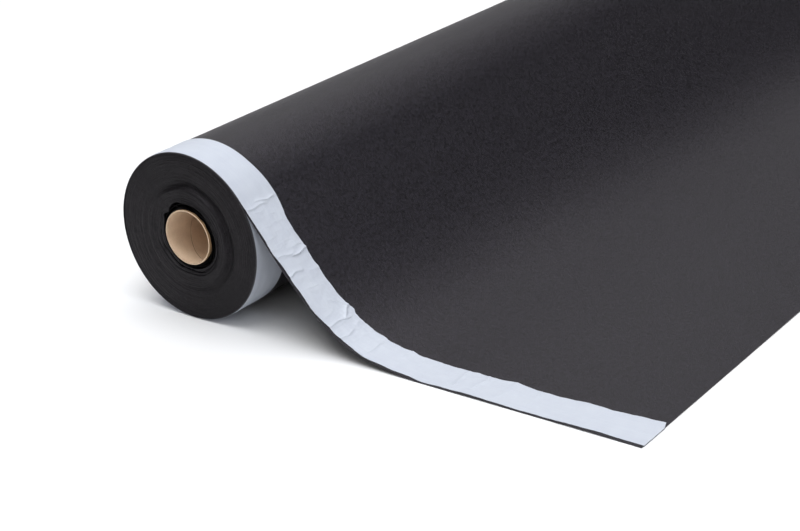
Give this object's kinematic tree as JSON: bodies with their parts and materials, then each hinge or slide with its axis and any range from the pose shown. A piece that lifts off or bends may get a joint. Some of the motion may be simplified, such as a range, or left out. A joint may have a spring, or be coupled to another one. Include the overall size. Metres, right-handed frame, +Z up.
{
  "type": "roll of facade membrane",
  "caption": "Roll of charcoal facade membrane wound on a cardboard core, its free end drawn out on to the floor, with a pale release film along one adhesive edge.",
  "frame": {"origin": "middle of the footprint, on the floor", "axes": "+Y along the roll, away from the end with the release film; +X the way the free end is drawn out; +Z up"},
  "size_m": [0.7694, 1.503, 0.2268],
  "materials": {
    "membrane": "matte nonwoven with a fine grain",
    "release_film": "satin, wrinkled",
    "cardboard": "plain kraft board"
  },
  "bodies": {
    "root": {"membrane": "membrane", "release_film": "release_film", "cardboard_core": "cardboard"}
  },
  "joints": []
}
